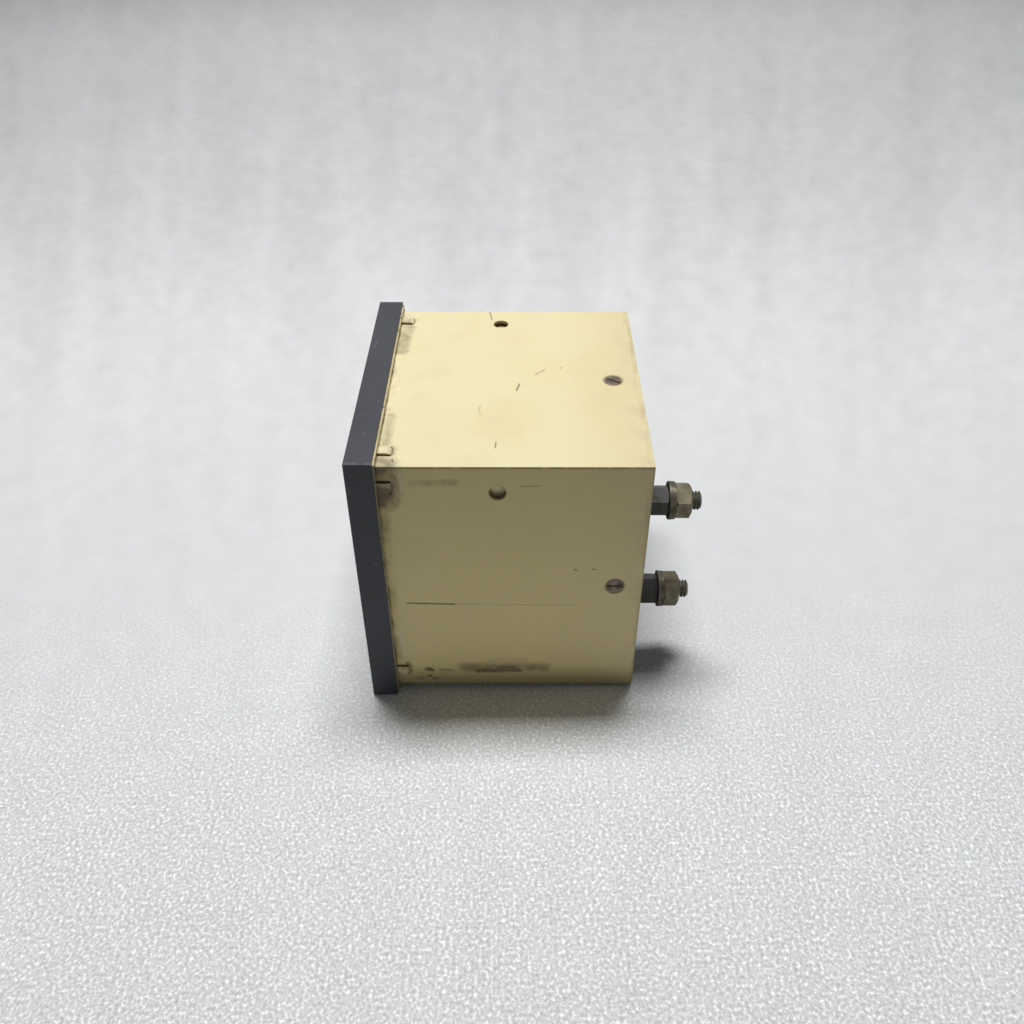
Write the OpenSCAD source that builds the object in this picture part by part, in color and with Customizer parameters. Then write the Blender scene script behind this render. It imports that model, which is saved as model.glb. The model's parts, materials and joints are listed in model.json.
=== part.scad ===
// Square panel meter with a quadrant pointer movement.
// The meter faces -Y and +Z is up. The origin lies on the meter's axis, in the plane
// where the mounting ring seats on the panel.

/* [Case] */
// Depth of the case behind the panel plane
case_d = 78; // [72:1:130]
// Sheet thickness of the case
wall = 1.0; // [0.8:0.1:1.4]
// Outer bend radius of the case's four long edges
case_r = 0.3; // [0.2:0.1:1.5]
// Free fit left between pieces that slide into one another
fit = 0.1; // [0.05:0.01:0.15]
// Length of a raised tongue behind the ring
tongue_l = 4; // [3:0.5:7]
// Width of a raised tongue
tongue_w = 3.6; // [3:0.1:6]
// Distance of the tongues from the middle of each side
tongue_x = 38.2; // [30:0.1:38.5]
// Height of a tongue above the case wall
tongue_rise = 0.7; // [0.3:0.05:0.8]
// Width of the slits cut round a tongue
slit = 0.5; // [0.2:0.05:0.6]
// Radius of the holes for the panel clamps
clamp_r = 2.5; // [1.5:0.1:3]
// Distance of the clamp holes behind the panel plane
clamp_y = 34; // [20:1:45]
// Distance of the clamp holes from the middle of each side
clamp_x = 36.3; // [28:0.1:37]

/* [Bezel] */
// Outer width and height of the bezel
bezel_w = 96; // [94:0.5:110]
// Distance by which the bezel stands beyond the case on each side
bezel_over = 2.5; // [2.2:0.1:3]
// Depth of the bezel
bezel_d = 8; // [7.5:0.5:12]
// Outer corner radius of the bezel
bezel_r = 0.3; // [0.2:0.1:3]
// Thickness of the bezel's front lip
lip_t = 1.6; // [1:0.1:2.2]
// Distance by which the lip covers the edge of the window
lip_lap = 3.4; // [2:0.1:4]
// Bevel round the lip's inner edge
lip_bevel = 1.0; // [0.4:0.1:1.4]
// Chamfer round the bezel's front edge
bezel_chamfer = 0.15; // [0.1:0.05:1.2]
// Thickness of the mounting ring
ring_t = 0.5; // [0.4:0.1:1]
// Distance of the ring's edge inside the bezel's edge
ring_inset = 0.7; // [0.3:0.1:1.2]
// Width of the four snap nubs inside the bezel
nub_w = 8; // [5:0.5:14]
// Height of the snap nubs
nub_h = 0.7; // [0.4:0.1:0.9]
// Thickness of the window
window_t = 1.8; // [1.2:0.1:2.4]
// Thickness of the gasket between lip and window
gasket_t = 0.4; // [0.3:0.1:0.6]

/* [Dial] */
// Thickness of the dial plate
dial_t = 0.8; // [0.6:0.1:1.2]
// Distance of the scale arc from the dial's two far edges
scale_margin = 17.4; // [14:0.2:22]
// Number of scale divisions
divisions = 20; // [8:4:40]
// Divisions between two long marks
long_every = 4; // [2:1:5]
// Length of the long division marks
long_mark = 5; // [3:0.5:7]
// Length of the short division marks
short_mark = 3; // [1.5:0.5:4]
// Thickness of the printed scale
print_t = 0.06; // [0.04:0.02:0.1]
// Thickness of the walls of the dial frame
well_t = 1.9; // [1.2:0.1:2.4]
// Radius of the dark cover over the pivot
mask_r = 19; // [16:0.5:22]

/* [Pointer] */
// Distance of the pointer in front of the dial
pointer_gap = 2.2; // [2:0.1:4]
// Half width of the pointer where it leaves the hub
pointer_root = 1.2; // [0.8:0.1:1.6]
// Half width of the pointer's tip
pointer_end = 0.4; // [0.25:0.05:0.8]
// Thickness of the pointer
pointer_t = 0.4; // [0.3:0.1:0.6]
// Distance by which the pointer's tip passes the scale arc
pointer_over = 2; // [1:0.5:4]
// Length of the two balance arms
balance_l = 9.5; // [8:0.5:10]
// Radius of the balance weights
weight_r = 1.5; // [1.2:0.1:1.8]
// Free swing beyond each end of the scale, in degrees
overswing = 2; // [1:0.5:3]
// Radius of the spindle
spindle_r = 0.7; // [0.5:0.05:0.9]
// Radius of the spindle's two pivots
trunnion_r = 0.4; // [0.3:0.05:0.45]
// Turns of the hairspring
spring_turns = 4; // [3:1:5]
// Radius of the hairspring
spring_r = 5.8; // [4.5:0.1:6]

/* [Movement] */
// Half width of the movement's square plates
plate_h = 14; // [13.8:0.1:14.4]
// Thickness of the movement plate
plate_t = 2.5; // [2:0.1:3.5]
// Length of the coil bobbin
bobbin_l = 22; // [20:0.5:30]
// Bore radius of the bobbin
bobbin_bore = 5.5; // [5.3:0.1:6]
// Wall of the bobbin
bobbin_t = 1.2; // [0.9:0.1:1.5]
// Outer radius of the winding
coil_r = 12.2; // [10:0.1:12.3]
// Radius of the winding's wire
wire_r = 0.9; // [0.5:0.05:1.1]
// Depth of the damping chamber
chamber_d = 7.7; // [6:0.1:10]
// Radius of the damping chamber
chamber_r = 25.2; // [20:0.1:26]
// Thickness of the chamber cover
cover_t = 1.5; // [1.2:0.1:2]
// Radius of the screws that hold the movement together
movement_screw_r = 1.25; // [1:0.05:1.3]
// Sheet thickness of the inner chassis
chassis_t = 1; // [0.8:0.1:1.2]
// Space between the chassis and the case wall
chassis_gap = 1.1; // [0.8:0.1:1.5]
// Space between the movement and the chassis wall
movement_gap = 0.4; // [0.3:0.1:0.8]

/* [Zero adjuster] */
// Distance of the adjuster below the pivot
adjuster_drop = 9.5; // [9:0.1:10]
// Offset of the adjuster's eccentric pin
adjuster_throw = 1.2; // [0.8:0.1:1.5]
// Radius of the adjuster's head
adjuster_head_r = 3.1; // [2.7:0.1:3.2]
// Radius of the adjuster's neck in the window
adjuster_neck_r = 2.3; // [1.8:0.1:2.4]
// Radius of the eccentric pin
adjuster_pin_r = 0.6; // [0.4:0.05:0.7]

/* [Rear base] */
// Distance of the base's face inside the case's rear edge
base_recess = 1; // [0.5:0.1:2]
// Thickness of the base plate
base_t = 4; // [3:0.5:6]
// Full depth of the base with its rim
base_d = 11; // [10:0.5:16]
// Thickness of the base's rim
base_rim = 3; // [2:0.5:4]
// Distance of the side screws from the case's rear edge
side_screw_y = 8.4; // [6:0.1:9]
// Radius of the side screws' heads
side_head_r = 2.7; // [2.4:0.1:3.2]
// Shank radius of the side screws and chassis screws
side_screw_r = 1.5; // [1.2:0.1:1.7]
// Depth of the screw heads below the case wall
head_sink = 0.12; // [0.05:0.01:0.2]

/* [Terminals] */
// Distance of the terminals from the edge of the rear base
terminal_in = 17.7; // [16:0.1:25]
// Distance between the two terminals
terminal_pitch = 37.6; // [30:0.1:50]
// Radius of the terminal studs
stud_r = 3; // [2:0.1:3.2]
// Width across the flats of the hexagonal posts
post_af = 8.6; // [8.2:0.1:12]
// Height of the hexagonal posts
post_h = 8.1; // [6:0.1:14]
// Outer radius of the flat washers
washer_r = 6; // [5:0.1:7]
// Thickness of the flat washers
washer_t = 1; // [0.8:0.1:1.8]
// Outer radius of the spring washers
lock_r = 5.9; // [4.8:0.1:6.5]
// Thickness of the spring washers
lock_t = 1; // [0.8:0.1:1.8]
// Width across the flats of the nuts
nut_af = 10; // [8.5:0.1:13]
// Height of the nuts
nut_h = 5.1; // [4:0.1:7]
// Length of the stud beyond the nut
stud_over = 3.1; // [2:0.1:8]

/* [Hidden] */
$fn = 64;
// Overlap of two shapes that are joined, and how far a cut runs past its piece
eps = 0.01;
past = 1;
// Clearances: of threads and pins, of screws in plain holes, and of what stands in an eye
play = 0.05;
hole_play = 0.1;
eye_play = 0.2;
press = 0.01;

// Slotted screws: head radius and head heights, as shares of the shank's radius
head_wide = 1.87;
head_low = 0.9;
head_high = 1.35;

// Chamfers of turned pieces are this many times deeper across the piece than along it
chamfer_slope = 1.7;

// Bezel, ring and case details
gasket_back = 0.6;
nub_d = 1.2;
nub_play = 0.4;
nub_back = 1.5;
ring_corner = 1;
ring_step = 0.1;
inner_r = 0.2;
tongue_step = 1.2;
side_screw_l = 9;
side_rim = 0.15;
side_slot_w = 0.7;
side_slot_d = 0.6;
side_slot_turns = [59, 88, 20, 115];

// Planes along the meter's depth, from the front to the rear
bezel_front = -ring_t - bezel_d;
bezel_rear = -ring_t;
lip_rear = bezel_front + lip_t;
window_front = lip_rear + gasket_t;
window_rear = window_front + window_t;
case_front = window_rear;
nub_y = bezel_rear - nub_back;
side_y = case_d - side_screw_y;
base_rear = case_d - base_recess;
base_plate = base_rear - base_t;
base_front = base_rear - base_d;
post_end = case_d + post_h;
washer_end = post_end + washer_t;
lock_end = washer_end + lock_t;
nut_end = lock_end + nut_h;
stud_end = nut_end + stud_over;

// Half widths across the meter, from the outside inwards
bezel_h = bezel_w / 2;
case_h = bezel_h - bezel_over;
inner_h = case_h - wall;
ring_h = bezel_h - ring_inset;
pocket_h = case_h + fit;
seat_h = case_h + tongue_rise + fit;
opening_h = case_h - lip_lap;
slip_h = inner_h - fit;
terminal_x = slip_h - terminal_in;
well_h = slip_h - well_t;
chassis_h = inner_h - chassis_gap;
dial_h = chassis_h;

// Planes of the cover, the front bearing, the pointer and the dial, from the window inwards
mask_gap = 0.15;
mask_t = 0.5;
mask_hole_play = 0.3;
jewel_gap = 0.2;
jewel_head_t = 0.4;
mask_front = window_rear + mask_gap;
mask_rear = mask_front + mask_t;
jewel_front = mask_rear + jewel_gap;
boss_front = jewel_front + jewel_head_t;
lever_gap = 0.1;
lever_t = 0.45;
lever_front = boss_front + lever_gap;
lever_rear = lever_front + lever_t;
bridge_t = 1;
bridge_front = lever_rear + lever_gap;
bridge_rear = bridge_front + bridge_t;
spring_h = 0.5;
spring_before = 0.2;
spring_behind = 0.25;
spring_front = bridge_rear + spring_before;
spring_rear = spring_front + spring_h;
hub_before = 0.65;
hub_behind = 0.35;
hub_front = spring_rear + spring_behind;
pointer_y = hub_front + hub_before;
hub_rear = pointer_y + hub_behind;
dial_y = pointer_y + pointer_gap;
dial_rear = dial_y + dial_t;

// Planes of the movement behind the dial
chassis_front = dial_rear;
chassis_rear = base_front;
plate_front = chassis_front + chassis_t;
bobbin_front = plate_front + plate_t;
bobbin_rear = bobbin_front + bobbin_l;
chamber_rear = bobbin_rear + chamber_d;
cover_rear = chamber_rear + cover_t;
bush_l = 2;
bush_rear = cover_rear + bush_l;

// The movement's axis, and the angle of the pointer's zero and of its full swing
pivot_x = chassis_h - chassis_t - movement_gap - plate_h;
pivot_z = -pivot_x;
zero_turn = 180;
scale_sweep = 90;
scale_r = pivot_x + dial_h - scale_margin;
pointer_r = scale_r + pointer_over;

// Print: widths of the arc, of the long marks and of the short marks
arc_w = 0.3;
long_w = 0.6;
short_w = 0.36;

// Pivots and bearings
bush_r = 3;
boss_r = 2;
pivot_hole_r = 3.2;
end_play = 0.1;
pivot_l = 0.5;
pivot_taper = 0.3;
jewel_head_r = 2.6;
jewel_r = 1.2;
jewel_slot = 0.5;
jewel_depth = pivot_l + end_play;
jewel_tail = 1.5;
jewel_rear = bush_rear + jewel_tail;
shaft_over = 0.4;
shaft_front = bridge_rear + end_play;
shaft_rear = chamber_rear + shaft_over;

// Pointer, its stops and its balance
hub_r = 2.2;
tip_l = 2;
arm_w = 0.9;
arm_turn = 45;
weight_l = 1.4;
stop_circle_r = 15;
stop_r = 0.8;
stop_gap = 0.12;
stop_over = 1;
stop_edge = 0.2;

// Hairspring and the lever that holds its outer end
spring_wire = 0.25;
spring_steps = 24;
collar_t = 0.45;
root_t = 0.25;
lever_eye = 1.4;
lever_w = 2.2;
lever_stud_r = 0.6;
lever_margin = 0.95;
lever_reach = spring_r + spring_wire + lever_margin;
fork_play = 0.15;
fork_arm = 1;
fork_deep = 2.1;
fork_over = 1.5;

// Zero adjuster: height of its head, and the bead that snaps behind the window
adjuster_head_t = 0.8;
adjuster_edge = 0.3;
adjuster_bead = 0.4;
adjuster_back = 0.5;
adjuster_slot = 0.8;

// Coil, irons and damping chamber
flange_t = 1.2;
flange_r = coil_r + 0.8;
winding_gap = 0.1;
tail_in = 13.6;
tail_y = bobbin_front + tail_in;
tail_t = 1.5;
tail_root = 3;
upper_tail_at = 2;
upper_tail_w = 5;
upper_tail_over = 4.5;
upper_tail_top = plate_h + upper_tail_over;
lower_tail_over = 4;
lower_tail_end = -plate_h - lower_tail_over;
lower_tail_z = -9;
lower_tail_t = 2.5;
lower_tail_h = 4;
iron_t = 0.4;
iron_gap = 0.75;
iron_r = bobbin_bore - play - iron_t - iron_gap;
iron_inset = 3.5;
iron_turns = [120, 170];
web_turns = [130, 160];
web_t = 0.6;
fixed_inset = 2;
fixed_turns = [150, 270];
chamber_floor = 1.2;
chamber_wall = 1.7;
chamber_edge = 12;
chamber_free = 8;
chamber_hub_r = 5;
vane_gap = 0.6;
vane_t = 0.5;
vane_tip_gap = 1;

// Places, from the pivot, of the movement's screws and of the bridge's pillars
screw_inset = 2.7;
pillar_inset = 1.9;
plate_corner = 1.5;
corner = plate_h - screw_inset;
screw_spots = [[-corner, -corner], [corner, -corner], [corner, corner]];
pillar_far = plate_h - pillar_inset;
pillar_near = 5.4;
pillar_r = 1.6;
pillar_spots = [[pillar_far, pillar_near], [pillar_near, pillar_far]];
pillar_rim = 0.8;
bridge_eye_r = 3.4;
bridge_arm_w = 4;
bridge_screw_r = 0.8;
bridge_screw_l = 4;

// Dial and chassis fixings
dial_screw_inset = 5.9;
dial_screw_at = dial_h - dial_screw_inset;
dial_screw_r = 1;
dial_screw_l = 2;
foot_w = 10;
foot_at = chassis_h - chassis_t - foot_w / 2;
foot_screw_r = 1.5;
foot_screw_end = base_plate - 0.5;
window_inset = 12;

// Rear base and conductors
boss_w = 12;
pad_r = 8;
groove_d = 0.5;
groove_in = 4;
groove_corner = 2;
pad_gap = 1.5;
terminal_spots = [[terminal_x, terminal_pitch / 2], [terminal_x, -terminal_pitch / 2]];
stud_head_af = 10;
stud_head_h = 4;
bar_t = 1.5;
bar_w = 8;
bar_eye_r = 6;
strap_t = 1;
strap_w = 6;
strap_lap = 2;
strap_drop = 4;
bar_front = base_front - bar_t;
post_turns = [0, 8];
nut_turns = [3, 20];
lock_cut = 0.6;
lock_turn = 140;
stud_chamfer = 0.5;
neck_l = 0.7;
neck_d = 0.55;
post_chamfer = 0.5;
washer_chamfer = 0.1;
nut_chamfer_front = 0.45;
nut_chamfer_rear = 0.9;

// ---- Shared shapes -------------------------------------------------------

function polar(r, a) = [r * cos(a), r * sin(a)];

// A plate between two depths; its outline is drawn as seen from the front
module slab(y0, y1)
    translate([0, y1, 0]) rotate([90, 0, 0]) linear_extrude(height = y1 - y0) children();

// A round bar along the depth
module rod(r, y0, y1)
    translate([0, y0, 0]) rotate([-90, 0, 0]) cylinder(r = r, h = y1 - y0);

// A turned piece; its outline is drawn as [radius, depth]
module turned()
    rotate([-90, 0, 0]) rotate_extrude() children();

// A hexagonal bar along the depth, with two corners up and down before it is turned
module hex_bar(af, y0, y1, turn = 0)
    rotate([0, turn, 0]) translate([0, y0, 0]) rotate([-90, 30, 0])
        cylinder(r = af / sqrt(3), h = y1 - y0, $fn = 6);

// A round bar with a chamfer at either end
module chamfered_rod(r, y0, y1, c0, c1)
    turned() polygon([[0, y0], [r - c0 * chamfer_slope, y0], [r, y0 + c0],
                      [r, y1 - c1], [r - c1 * chamfer_slope, y1], [0, y1]]);

// A slotted screw along the depth: its head stands on the seat, its shank runs to the end
module screw(r, high, seat, end, turn = 0) {
    head_r = head_wide * r;
    head_t = high * r;
    way = end > seat ? 1 : -1;
    edge = head_t / 4;
    top = seat - way * head_t;
    difference() {
        turned() polygon([[0, top], [head_r - edge, top], [head_r, top + way * edge],
                          [head_r, seat], [r, seat], [r, end], [0, end]]);
        rotate([0, turn, 0]) translate([0, top, 0])
            cube([2 * head_r + past, head_t, r / 2], center = true);
    }
}

// A square outline with round corners
module square_outline(h, r) {
    square([2 * h, 2 * (h - r)], center = true);
    square([2 * (h - r), 2 * h], center = true);
    for (x = [-1, 1], z = [-1, 1])
        translate([x * (h - r), z * (h - r)]) circle(r = r, $fn = 32);
}

// A sector of a ring between two angles
module ring_sector(r0, r1, a0, a1) {
    reach = 2 * r1;
    intersection() {
        difference() {
            circle(r = r1);
            if (r0 > 0) circle(r = r0);
        }
        polygon([[0, 0], polar(reach, a0), polar(reach, (a0 + a1) / 2), polar(reach, a1)]);
    }
}

// One copy on each of the four sides; the first is the top side
module each_side()
    for (i = [0:3]) rotate([0, 90 * i, 0]) children();

module at_pivot()
    translate([pivot_x, 0, pivot_z]) children();

module at_adjuster()
    at_pivot() translate([0, 0, -adjuster_drop]) children();

module at_spots(spots)
    for (p = spots) translate([p[0], 0, p[1]]) children();

module at_pair(at)
    at_spots([[at, at], [-at, -at]]) children();

module at_corners(at)
    at_spots([[at, at], [-at, at], [-at, -at], [at, -at]]) children();

// ---- Front ---------------------------------------------------------------

// Moulded front frame that snaps over the front end of the case
module bezel() color("#3b3a40") {
    difference() {
        slab(bezel_front, bezel_rear) square_outline(bezel_h, bezel_r);
        slab(lip_rear, bezel_rear + past) square_outline(pocket_h, case_r);
        slab(bezel_front - past, lip_rear + past) square(2 * opening_h, center = true);
        bezel_lip_bevel();
        each_side() translate([0, bezel_front, bezel_h]) rotate([45, 0, 0])
            cube([2 * bezel_h + past, bezel_chamfer * sqrt(2), bezel_chamfer * sqrt(2)], center = true);
    }
    each_side() translate([-nub_w / 2, nub_y - nub_d / 2, pocket_h - nub_h])
        cube([nub_w, nub_d, nub_h + eps]);
}

module bezel_lip_bevel()
    translate([0, bezel_front - eps, 0]) rotate([-90, 0, 0])
        linear_extrude(height = lip_bevel, scale = opening_h / (opening_h + lip_bevel))
            square(2 * (opening_h + lip_bevel), center = true);

module window() color("#dfeaec", 0.35)
    difference() {
        slab(window_front, window_rear) square_outline(case_h - fit, case_r);
        at_adjuster() rod(adjuster_neck_r + play, window_front - past, window_rear + past);
    }

module window_gasket() color("#202022")
    slab(lip_rear, window_front) difference() {
        square_outline(case_h - fit, case_r);
        square(2 * (opening_h + gasket_back), center = true);
    }

// Flat ring that slips over the case and seats on the panel. Its inner lip is coined thinner
// and rests on the tongues.
module mounting_ring() color("#c9bb84") {
    slab(bezel_rear, 0) difference() {
        square_outline(ring_h, ring_corner);
        square_outline(seat_h, case_r);
    }
    slab(bezel_rear, -ring_step) difference() {
        square_outline(seat_h + eps, case_r);
        square_outline(pocket_h, case_r);
    }
}

// ---- Case ----------------------------------------------------------------

module tongue_cut()
    translate([-tongue_w / 2 - slit, -slit, inner_h - past])
        cube([tongue_w + 2 * slit, tongue_l + slit, wall + 2 * past]);

// A strip that stays joined at its rear end and steps outwards to its free front end,
// which holds the ring
module tongue() {
    high = inner_h + tongue_rise;
    bend = tongue_l - tongue_step;
    root = tongue_l + eps;
    translate([-tongue_w / 2, 0, 0]) rotate([90, 0, 90]) linear_extrude(height = tongue_w)
        polygon([[-ring_step, high], [-ring_step, high + wall], [bend, high + wall],
                 [root, inner_h + wall], [root, inner_h], [bend, high]]);
}

// Folded square sleeve of sheet steel with lanced tongues behind the ring
module case() color("#e9dfb4") {
    difference() {
        slab(case_front, case_d) difference() {
            square_outline(case_h, case_r);
            square_outline(inner_h, inner_r);
        }
        each_side() {
            for (s = [-1, 1]) translate([s * tongue_x, 0, 0]) tongue_cut();
            translate([-clamp_x, clamp_y, inner_h - past]) cylinder(r = clamp_r, h = wall + 2 * past);
            translate([0, side_y, case_h]) side_countersink();
            translate([-nub_w / 2 - nub_play, nub_y - (nub_d + nub_play) / 2, inner_h - past])
                cube([nub_w + 2 * nub_play, nub_d + nub_play, wall + 2 * past]);
        }
    }
    each_side() for (s = [-1, 1]) translate([s * tongue_x, 0, 0]) tongue();
}

// Conical seat of a side screw's head, cut in from the outside face
module side_countersink() {
    mouth = side_head_r + head_sink + side_rim + play;
    translate([0, 0, side_screw_r - mouth]) cylinder(r1 = side_screw_r, r2 = mouth, h = mouth - side_screw_r);
    translate([0, 0, -eps]) cylinder(r = mouth, h = past);
    translate([0, 0, -wall - past]) cylinder(r = side_screw_r + hole_play, h = wall + past);
}

// Slotted countersunk screws that hold the base in the case
module side_screws() color("#5a4f49")
    for (i = [0:3]) rotate([0, 90 * i, 0]) translate([0, side_y, case_h - head_sink]) {
        neck = side_rim + side_head_r - side_screw_r;
        difference() {
            rotate([180, 0, 0]) rotate_extrude()
                polygon([[0, 0], [side_head_r, 0], [side_head_r, side_rim], [side_screw_r, neck],
                         [side_screw_r, side_screw_l], [0, side_screw_l]]);
            rotate([0, 0, side_slot_turns[i]])
                cube([2 * side_head_r + past, side_slot_w, 2 * side_slot_d], center = true);
        }
    }

// ---- Dial ----------------------------------------------------------------

// Moulded frame between window and dial, with the cover over the pivot in its corner
module dial_frame() color("#2b2b2e") {
    slab(case_front, dial_y) difference() {
        square_outline(slip_h, case_r);
        square(2 * well_h, center = true);
    }
    slab(mask_front, mask_rear) difference() {
        intersection() {
            translate([pivot_x, pivot_z]) circle(r = mask_r);
            square(2 * (well_h + hole_play), center = true);
        }
        translate([pivot_x, pivot_z - adjuster_drop]) circle(r = adjuster_head_r + mask_hole_play);
    }
}

module dial() color("#f1efe6")
    difference() {
        slab(dial_y, dial_rear) square_outline(dial_h, case_r);
        at_pivot() {
            rod(pivot_hole_r, dial_y - past, dial_rear + past);
            at_spots(pillar_spots) rod(pillar_r + eye_play, dial_y - past, dial_rear + past);
            at_stops() rod(stop_r + play, dial_y - past, dial_rear + past);
        }
        at_pair(dial_screw_at) rod(dial_screw_r + hole_play, dial_y - past, dial_rear + past);
    }

// Scale arc with long and short division marks
module scale_print() color("#1c1c1e")
    slab(dial_y - print_t, dial_y) translate([pivot_x, pivot_z]) {
        ring_sector(scale_r - arc_w / 2, scale_r + arc_w / 2, zero_turn - scale_sweep, zero_turn);
        for (i = [0:divisions]) rotate(zero_turn - scale_sweep * i / divisions) {
            long = i % long_every == 0;
            mark_l = long ? long_mark : short_mark;
            mark_w = long ? long_w : short_w;
            translate([scale_r, -mark_w / 2]) square([mark_l, mark_w]);
        }
    }

module dial_screws() color("#b9b5ab")
    at_pair(dial_screw_at) screw(dial_screw_r, head_low, dial_y, plate_front + dial_screw_l, 20);

// Half width of the pointer at a radius
function pointer_half(r) =
    pointer_root + (pointer_end - pointer_root) * (r - hub_r) / (pointer_r - hub_r);

// The stop pins lie beyond each end of the pointer's free swing
function stop_turn() =
    overswing + asin((pointer_half(stop_circle_r) + stop_r + stop_gap) / stop_circle_r);

module at_stops()
    at_spots([polar(stop_circle_r, zero_turn - scale_sweep - stop_turn()),
              polar(stop_circle_r, zero_turn + stop_turn())]) children();

module stop_pins() color("#8d8a84")
    at_pivot() at_stops()
        turned() polygon([[0, pointer_y - stop_over], [stop_r - stop_edge, pointer_y - stop_over],
                          [stop_r, pointer_y - stop_over + stop_edge], [stop_r, plate_front],
                          [0, plate_front]]);

// ---- Chassis -------------------------------------------------------------

// Folded inner chassis: a front plate, four walls with openings, and four feet
module chassis() color("#d8c98e")
    difference() {
        union() {
            slab(chassis_front, plate_front) square_outline(chassis_h, case_r);
            slab(chassis_front, chassis_rear) difference() {
                square_outline(chassis_h, case_r);
                square(2 * (chassis_h - chassis_t), center = true);
            }
            at_corners(foot_at) slab(chassis_rear - chassis_t, chassis_rear)
                square(foot_w + 2 * eps, center = true);
        }
        each_side() translate([-chassis_h / 2, chassis_front + window_inset, chassis_h - chassis_t - past])
            cube([chassis_h, chassis_rear - chassis_front - 2 * window_inset, chassis_t + 2 * past]);
        at_pivot() {
            rod(pivot_hole_r, chassis_front - past, plate_front + past);
            at_spots(pillar_spots) rod(pillar_r + eye_play, chassis_front - past, plate_front + past);
            at_spots(screw_spots) rod(movement_screw_r + play, chassis_front - past, plate_front + past);
            at_stops() rod(stop_r + play, chassis_front - past, plate_front + past);
        }
        at_pair(dial_screw_at) rod(dial_screw_r + play, chassis_front - past, plate_front + past);
        at_corners(foot_at)
            rod(foot_screw_r + hole_play, chassis_rear - chassis_t - past, chassis_rear + past);
    }

module chassis_screws() color("#b9b5ab")
    at_corners(foot_at) screw(foot_screw_r, head_high, chassis_rear - chassis_t, foot_screw_end);

// ---- Movement, fixed pieces -----------------------------------------------

module movement_outline() square_outline(plate_h, plate_corner);

module movement_plate() color("#b5a36b")
    at_pivot() difference() {
        slab(plate_front, bobbin_front) movement_outline();
        rod(pivot_hole_r, plate_front - past, bobbin_front + past);
        at_spots(screw_spots) rod(movement_screw_r + hole_play, plate_front - past, bobbin_front + past);
        at_spots(pillar_spots) rod(pillar_r + play, plate_front - past, bobbin_front + past);
    }

module coil_bobbin() color("#d9d4c4") {
    tube_r = bobbin_bore + bobbin_t;
    at_pivot() turned() polygon([
        [bobbin_bore, bobbin_front], [flange_r, bobbin_front], [flange_r, bobbin_front + flange_t],
        [tube_r, bobbin_front + flange_t], [tube_r, bobbin_rear - flange_t],
        [flange_r, bobbin_rear - flange_t], [flange_r, bobbin_rear], [bobbin_bore, bobbin_rear]]);
}

// One layer of turns shows on the outside; two flat tails carry the current in
module coil_winding() color("#a5562d")
    at_pivot() {
        y0 = bobbin_front + flange_t + winding_gap;
        y1 = bobbin_rear - flange_t - winding_gap;
        core = bobbin_bore + bobbin_t + play;
        turns = floor((y1 - y0) / (2 * wire_r));
        pitch = (y1 - y0 - 2 * wire_r) / (turns - 1);
        turned() {
            translate([core, y0]) square([coil_r - wire_r - core, y1 - y0]);
            for (i = [0:turns - 1])
                translate([coil_r - wire_r, y0 + wire_r + i * pitch]) circle(r = wire_r, $fn = 24);
        }
        translate([upper_tail_at, tail_y, coil_r - tail_root])
            cube([upper_tail_w, tail_t, upper_tail_top - coil_r + tail_root]);
        translate([lower_tail_end, tail_y, lower_tail_z])
            cube([tail_root - coil_r + upper_tail_at - lower_tail_end, lower_tail_h, lower_tail_t]);
    }

// Tapered soft-iron piece glued in the bobbin's bore
module fixed_iron() color("#7d7f82")
    at_pivot() slab(bobbin_front + fixed_inset, bobbin_rear - fixed_inset)
        ring_sector(bobbin_bore - play - iron_t, bobbin_bore - play, fixed_turns[0], fixed_turns[1]);

module damping_outline(r, margin)
    ring_sector(0, r, zero_turn - scale_sweep - margin, zero_turn + margin);

module chamber_outline() {
    movement_outline();
    damping_outline(chamber_r, chamber_edge);
}

// Moulded box in which the vane swings
module damping_chamber() color("#3f4145")
    at_pivot() difference() {
        slab(bobbin_rear, chamber_rear) chamber_outline();
        slab(bobbin_rear + chamber_floor, chamber_rear + past) {
            damping_outline(chamber_r - chamber_wall, chamber_free);
            circle(r = chamber_hub_r);
        }
        rod(spindle_r + 3 * eye_play, bobbin_rear - past, chamber_rear);
        at_spots(screw_spots) rod(movement_screw_r + hole_play, bobbin_rear - past, chamber_rear + past);
    }

// Brass plate that closes the chamber and carries the rear bearing
module chamber_cover() color("#b5a36b")
    at_pivot() difference() {
        union() {
            slab(chamber_rear, cover_rear) chamber_outline();
            rod(bush_r, cover_rear - eps, bush_rear);
        }
        rod(jewel_r + play, chamber_rear - past, bush_rear + past);
        at_spots(screw_spots) rod(movement_screw_r + hole_play, chamber_rear - past, cover_rear + past);
    }

module movement_screws() color("#b9b5ab")
    at_pivot() at_spots(screw_spots)
        screw(movement_screw_r, head_high, cover_rear, chassis_front + end_play);

module bridge_pillars() color("#c9b878")
    at_pivot() at_spots(pillar_spots) difference() {
        rod(pillar_r, bridge_rear, bobbin_front);
        rod(bridge_screw_r + play, bridge_rear - past, bridge_rear + bridge_screw_l + end_play);
    }

// Bracket in front of the pointer that carries the front bearing and the lever
module front_bridge() color("#c9b878")
    at_pivot() difference() {
        union() {
            slab(bridge_front, bridge_rear) {
                circle(r = bridge_eye_r);
                for (p = pillar_spots) {
                    rotate(atan2(p[1], p[0])) translate([0, -bridge_arm_w / 2])
                        square([norm(p), bridge_arm_w]);
                    translate(p) circle(r = pillar_r + pillar_rim);
                }
            }
            rod(boss_r, boss_front, bridge_front + eps);
        }
        rod(jewel_r + play, boss_front - past, bridge_rear + past);
        at_spots(pillar_spots) rod(bridge_screw_r + hole_play, bridge_front - past, bridge_rear + past);
    }

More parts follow.
